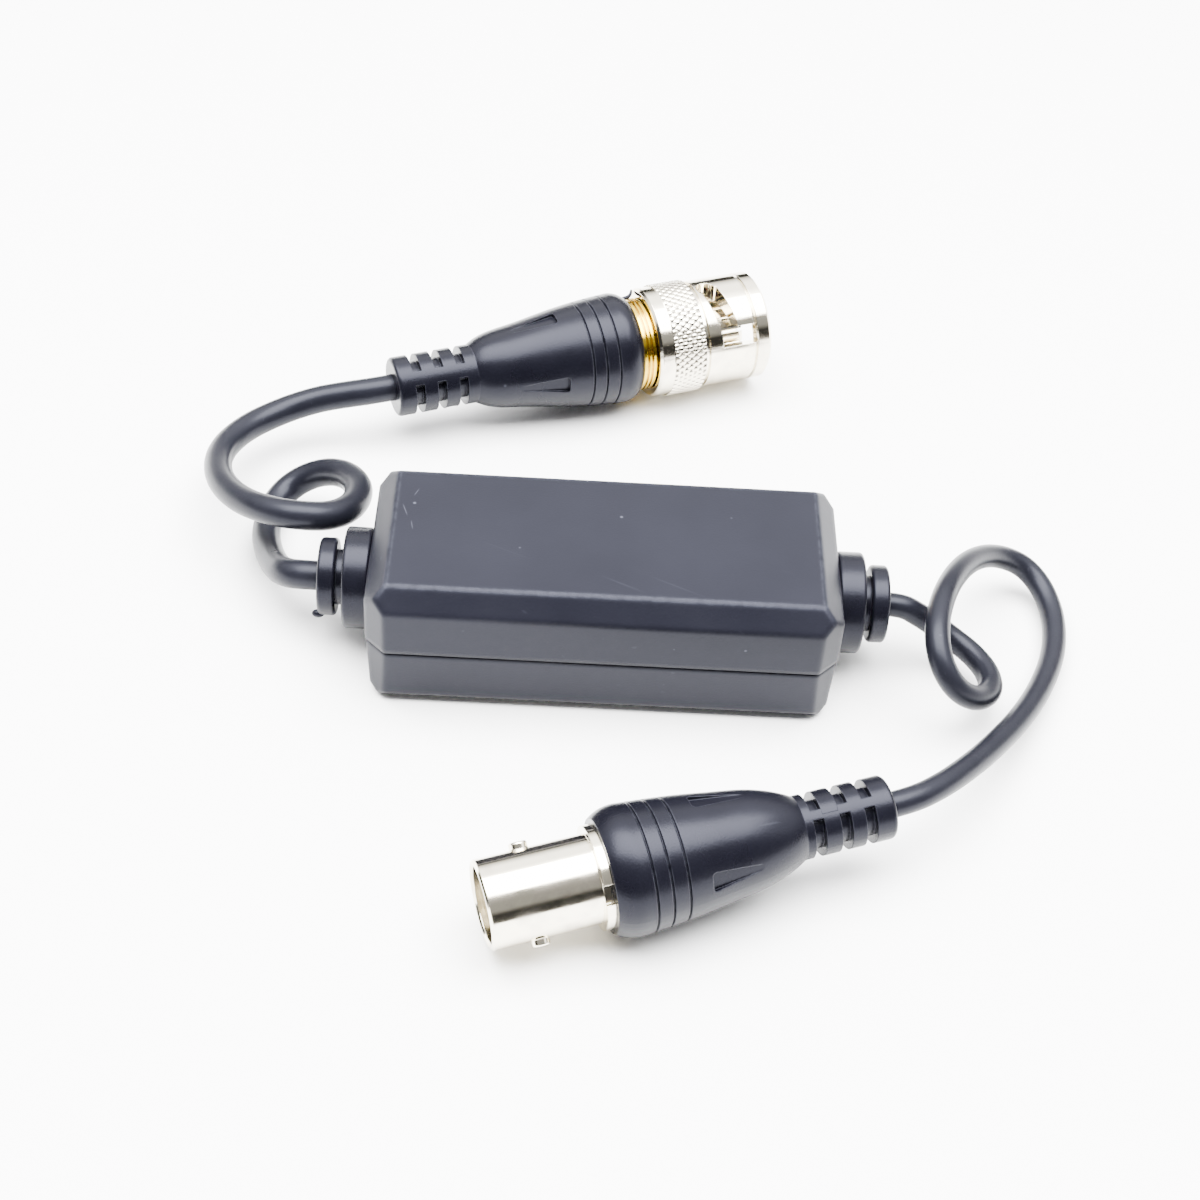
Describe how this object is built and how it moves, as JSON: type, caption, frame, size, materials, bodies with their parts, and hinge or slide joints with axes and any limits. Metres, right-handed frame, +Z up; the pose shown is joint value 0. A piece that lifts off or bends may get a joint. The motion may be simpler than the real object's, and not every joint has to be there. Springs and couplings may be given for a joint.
{
  "type": "cctv video balun",
  "caption": "In-line video isolator: small chamfered plastic box with an isolating transformer inside, one short coaxial lead ending in a bayonet plug and one in a bayonet jack.",
  "frame": {"origin": "under the middle of the housing, on the surface it rests on", "axes": "+X along the housing towards the jack lead, +Y away from the front face, +Z up"},
  "size_m": [0.1076, 0.1131, 0.0167],
  "materials": {
    "shell_plastic": "satin moulded plastic",
    "soft_black": "satin soft moulding",
    "cable_jacket": "satin cable jacket",
    "board": "glass laminate with solder resist",
    "ferrite": "matt sintered ferrite",
    "enamelled_copper": "enamelled wire",
    "capacitor_case": "dipped lacquer",
    "suppressor_coat": "dipped lacquer",
    "resistor_coat": "lacquer",
    "solder": "tin solder",
    "gold_plate": "bright gold plating on brass",
    "nickel_plate": "bright nickel plating",
    "spring_steel": "plain spring steel",
    "dielectric": "white insulating plastic",
    "seal_rubber": "soft seal"
  },
  "bodies": {
    "main": {"upper_shell": "shell_plastic", "lower_shell": "shell_plastic", "left_grommet": "soft_black", "right_grommet": "soft_black", "circuit_board": "board", "transformer_core": "ferrite", "primary_winding": "enamelled_copper", "secondary_winding": "enamelled_copper", "film_capacitor": "capacitor_case", "surge_suppressor": "suppressor_coat", "damping_resistor": "resistor_coat", "solder_joints": "solder", "left_lead_end": "cable_jacket", "right_lead_end": "cable_jacket", "left_cable": "cable_jacket", "right_cable": "cable_jacket", "plug_boot": "soft_black", "plug_body": "gold_plate", "plug_contact": "nickel_plate", "plug_insulator": "dielectric", "plug_pin": "gold_plate", "plug_gasket": "seal_rubber", "plug_ferrule": "nickel_plate", "plug_lead_end": "cable_jacket", "snap_ring": "spring_steel", "wave_spring": "spring_steel", "jack_boot": "soft_black", "jack_barrel": "nickel_plate", "jack_insulator": "dielectric", "jack_socket": "gold_plate", "jack_ferrule": "nickel_plate", "jack_lead_end": "cable_jacket"},
    "washer": {"slip_washer": "spring_steel"},
    "nut": {"coupling_nut": "nickel_plate"}
  },
  "joints": [
    {"name": "nut_pull", "type": "slide", "parent": "main", "child": "washer", "axis": [0.933, 0.36, 0], "range_m": [0, 0.0008], "stiffness_N_per_m": 2000, "springref_m": -0.0005, "deforming": ["wave_spring"]},
    {"name": "nut_turn", "type": "hinge", "parent": "washer", "child": "nut", "pos_m": [0.01948, 0.0558, 0.00768], "axis": [0.933, 0.36, 0], "continuous": true}
  ]
}
